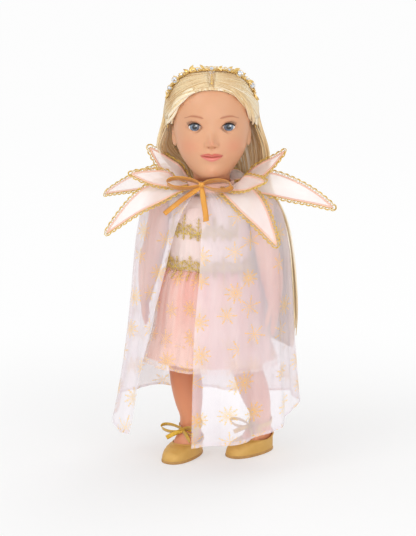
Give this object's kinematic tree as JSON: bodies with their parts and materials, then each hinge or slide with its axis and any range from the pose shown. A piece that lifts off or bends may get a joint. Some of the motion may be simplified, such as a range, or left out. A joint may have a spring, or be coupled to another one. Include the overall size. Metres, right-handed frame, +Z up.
{
  "type": "play doll",
  "caption": "Standing jointed play doll with sleep eyes and long hair, in a sheer cape with a petal collar, gathered skirt, headband and ribbon-tied slippers.",
  "frame": {"origin": "on the floor under the middle of the doll", "axes": "+Z up, the doll faces -Y, +X to the doll's left"},
  "size_m": [0.2776, 0.172, 0.4603],
  "materials": {
    "cloth_body": "cotton weave",
    "hard_plastic": "moulded",
    "steel": "brushed",
    "bodice_cloth": "satin",
    "gold_lace": "metallic thread",
    "lining_satin": "satin",
    "overlay_tulle": "sheer",
    "cape_organza": "sheer",
    "collar_satin": "satin",
    "petal_organza": "sheer",
    "bow_satin": "satin",
    "skin_vinyl": "soft vinyl",
    "hair": "fine fibre",
    "eye": "glossy",
    "headband_gold": "metallic gold",
    "clear_stone": "faceted",
    "slipper_gold": "satin",
    "sole": "matte",
    "ankle_satin": "satin"
  },
  "bodies": {
    "torso": {"cloth_torso": "cloth_body", "neck_post": "hard_plastic", "neck_washer": "steel", "right_shoulder_cup": "hard_plastic", "left_shoulder_cup": "hard_plastic", "right_hip_cup": "hard_plastic", "left_hip_cup": "hard_plastic", "dress_bodice": "bodice_cloth", "chest_lace": "gold_lace", "waist_lace": "gold_lace", "skirt_lining": "lining_satin", "skirt_overlay": "overlay_tulle", "cape": "cape_organza", "collar_band": "collar_satin", "petal_1": "petal_organza", "petal_2": "petal_organza", "petal_3": "petal_organza", "petal_4": "petal_organza", "petal_5": "petal_organza", "petal_6": "petal_organza", "petal_7": "petal_organza", "petal_8": "petal_organza", "petal_9": "petal_organza", "petal_10": "petal_organza", "petal_11": "petal_organza", "petal_12": "petal_organza", "bow_knot": "bow_satin", "bow_loops": "bow_satin", "bow_tails": "bow_satin"},
    "head": {"head_shell": "skin_vinyl", "neck_ring": "skin_vinyl", "hair_cap": "hair", "hair_length": "hair", "eye_bracket": "hard_plastic"},
    "eyes": {"right_eye": "eye", "left_eye": "eye", "eye_axle": "steel", "eye_weight": "steel"},
    "headband": {"headband_band": "headband_gold", "headband_leaves": "headband_gold", "headband_stones": "clear_stone", "headband_drop": "headband_gold"},
    "right_arm_body": {"right_arm": "skin_vinyl", "right_arm_stem": "hard_plastic"},
    "left_arm_body": {"left_arm": "skin_vinyl", "left_arm_stem": "hard_plastic"},
    "right_leg_body": {"right_leg": "skin_vinyl", "right_leg_stem": "hard_plastic", "right_shoe_upper": "slipper_gold", "right_shoe_sole": "sole", "right_ankle_ribbon": "ankle_satin"},
    "left_leg_body": {"left_leg": "skin_vinyl", "left_leg_stem": "hard_plastic", "left_shoe_upper": "slipper_gold", "left_shoe_sole": "sole", "left_ankle_ribbon": "ankle_satin"}
  },
  "joints": [
    {"name": "head_turn", "type": "hinge", "parent": "torso", "child": "head", "pos_m": [0, 0.002, 0.315], "axis": [0, 0, 1], "range_deg": [-40, 40], "deforming": ["hair_length"]},
    {"name": "eye_close", "type": "hinge", "parent": "head", "child": "eyes", "pos_m": [0.01089, -0.02791, 0.39266], "axis": [0.9397, 0.342, 0], "range_deg": [0, 55]},
    {"name": "headband_lift", "type": "slide", "parent": "head", "child": "headband", "axis": [0, 0, 1], "range_m": [0, 0.06]},
    {"name": "right_shoulder", "type": "hinge", "parent": "torso", "child": "right_arm_body", "pos_m": [-0.048, 0, 0.297], "axis": [-1, 0, 0], "range_deg": [-20, 45], "deforming": ["cape"]},
    {"name": "left_shoulder", "type": "hinge", "parent": "torso", "child": "left_arm_body", "pos_m": [0.048, 0, 0.297], "axis": [-1, 0, 0], "range_deg": [-20, 45]},
    {"name": "right_hip", "type": "hinge", "parent": "torso", "child": "right_leg_body", "pos_m": [-0.016, 0, 0.195], "axis": [-1, 0, 0], "range_deg": [-15, 80], "deforming": ["skirt_lining", "skirt_overlay"]},
    {"name": "left_hip", "type": "hinge", "parent": "torso", "child": "left_leg_body", "pos_m": [0.016, 0, 0.195], "axis": [-1, 0, 0], "range_deg": [-15, 80]}
  ]
}
